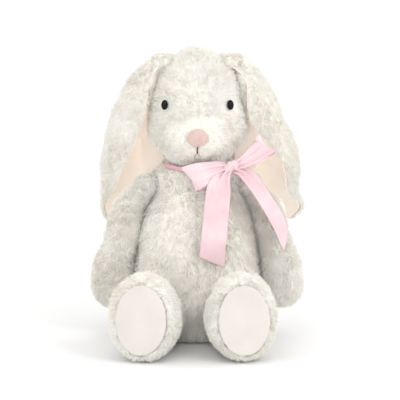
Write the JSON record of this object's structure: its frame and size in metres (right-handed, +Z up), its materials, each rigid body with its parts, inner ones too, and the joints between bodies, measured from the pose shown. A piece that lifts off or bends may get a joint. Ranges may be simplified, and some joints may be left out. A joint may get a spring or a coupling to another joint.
{
  "type": "stuffed bunny rabbit",
  "caption": "Cream plush bunny sitting upright, with long lop ears, splayed feet with smooth soles, a pink nose and a pink satin bow",
  "frame": {"origin": "on the surface the toy sits on, under the middle of the bounding box", "axes": "+Z up; the rabbit faces -Y; +X is to the right of someone looking at its face"},
  "size_m": [0.2126, 0.2549, 0.2905],
  "materials": {
    "plush": "short soft plush pile, cream white",
    "ear_lining": "smooth short velour, cream with a little pink",
    "sole_pad": "smooth short velour, cream",
    "nose_velour": "short velour, dusty pink",
    "stitch_thread": "twisted embroidery thread, black",
    "satin_ribbon": "satin weave, pink, glossy along the weft",
    "eye_gloss": "polished black",
    "washer_plastic": "moulded natural white",
    "fibre_fill": "loose polyester fibre",
    "pellet_bag": "plain cotton bag of plastic pellets"
  },
  "bodies": {
    "torso": {"ribbon_band": "satin_ribbon", "ribbon_knot": "satin_ribbon", "ribbon_loop_left": "satin_ribbon", "ribbon_loop_right": "satin_ribbon", "ribbon_tail_left": "satin_ribbon", "ribbon_tail_right": "satin_ribbon", "seat_pellet_bag": "pellet_bag", "tail_skin": "plush", "tail_stuffing": "fibre_fill", "torso_back_left": "plush", "torso_back_right": "plush", "torso_front_left": "plush", "torso_front_right": "plush", "torso_stuffing": "fibre_fill"},
    "neck": {"neck_wad": "fibre_fill"},
    "head": {"eye_left": "eye_gloss", "eye_right": "eye_gloss", "eye_washer_left": "washer_plastic", "eye_washer_right": "washer_plastic", "head_left": "plush", "head_right": "plush", "head_stuffing": "fibre_fill", "mouth_stitch": "stitch_thread", "nose": "nose_velour"},
    "ear_left": {"ear_lining_left": "ear_lining", "ear_outer_left": "plush"},
    "arm_left": {"arm_skin_left": "plush", "arm_stuffing_left": "fibre_fill"},
    "leg_left": {"leg_skin_left": "plush", "leg_stuffing_left": "fibre_fill", "sole_pad_left": "sole_pad"},
    "ear_right": {"ear_lining_right": "ear_lining", "ear_outer_right": "plush"},
    "arm_right": {"arm_skin_right": "plush", "arm_stuffing_right": "fibre_fill"},
    "leg_right": {"leg_skin_right": "plush", "leg_stuffing_right": "fibre_fill", "sole_pad_right": "sole_pad"}
  },
  "joints": [
    {"name": "head_turn", "type": "hinge", "parent": "torso", "child": "neck", "pos_m": [0, 0.035, 0.174], "axis": [0, 0, 1], "range_deg": [-12, 12], "stiffness_Nm_per_rad": 0.25},
    {"name": "head_nod", "type": "hinge", "parent": "neck", "child": "head", "pos_m": [0, 0.035, 0.174], "axis": [1, 0, 0], "range_deg": [-10, 3], "stiffness_Nm_per_rad": 0.9},
    {"name": "ear_left_lift", "type": "hinge", "parent": "head", "child": "ear_left", "pos_m": [-0.0325, 0.037, 0.281], "axis": [0, 1, 0], "range_deg": [0, 75]},
    {"name": "arm_left_lift", "type": "hinge", "parent": "torso", "child": "arm_left", "pos_m": [-0.05, 0.026, 0.15], "axis": [0, 1, 0], "range_deg": [0, 30]},
    {"name": "leg_left_lift", "type": "hinge", "parent": "torso", "child": "leg_left", "pos_m": [-0.038, -0.017, 0.03], "axis": [-1, 0, 0], "range_deg": [0, 30]},
    {"name": "ear_right_lift", "type": "hinge", "parent": "head", "child": "ear_right", "pos_m": [0.0325, 0.037, 0.281], "axis": [0, -1, 0], "range_deg": [0, 75]},
    {"name": "arm_right_lift", "type": "hinge", "parent": "torso", "child": "arm_right", "pos_m": [0.05, 0.026, 0.15], "axis": [0, -1, 0], "range_deg": [0, 30]},
    {"name": "leg_right_lift", "type": "hinge", "parent": "torso", "child": "leg_right", "pos_m": [0.032, -0.017, 0.03], "axis": [-1, 0, 0], "range_deg": [0, 30]}
  ]
}
